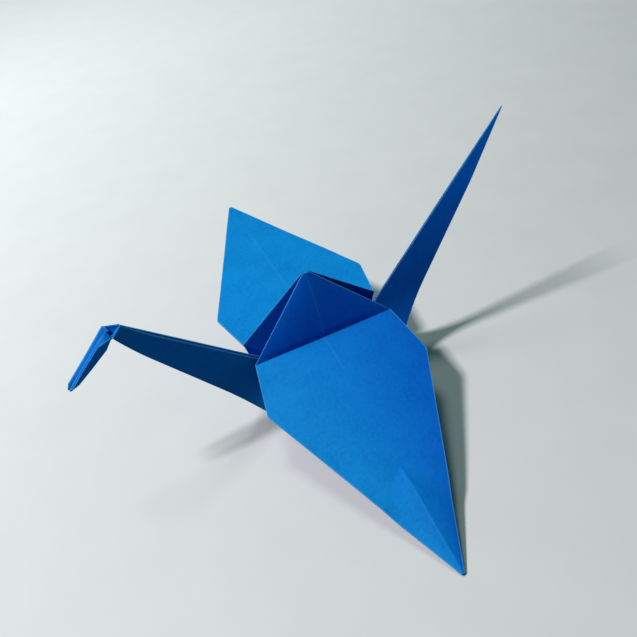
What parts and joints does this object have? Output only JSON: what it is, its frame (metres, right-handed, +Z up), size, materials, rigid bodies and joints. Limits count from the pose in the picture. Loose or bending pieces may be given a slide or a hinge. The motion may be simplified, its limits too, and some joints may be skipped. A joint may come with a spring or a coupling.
{
  "type": "origami crane",
  "caption": "Paper crane folded from one blue square sheet, wings spread, beak turned down, pointed tail raised, standing on the corners of its hollow body.",
  "frame": {"origin": "middle of the ground the crane covers, at the level of the lowest body corners", "axes": "+Z up, -X towards the head, +X towards the tail, -Y towards the lower wing"},
  "size_m": [0.1086, 0.127, 0.0578],
  "materials": {
    "paper": "matte"
  },
  "bodies": {
    "root": {"folded_sheet": "paper"}
  },
  "joints": []
}
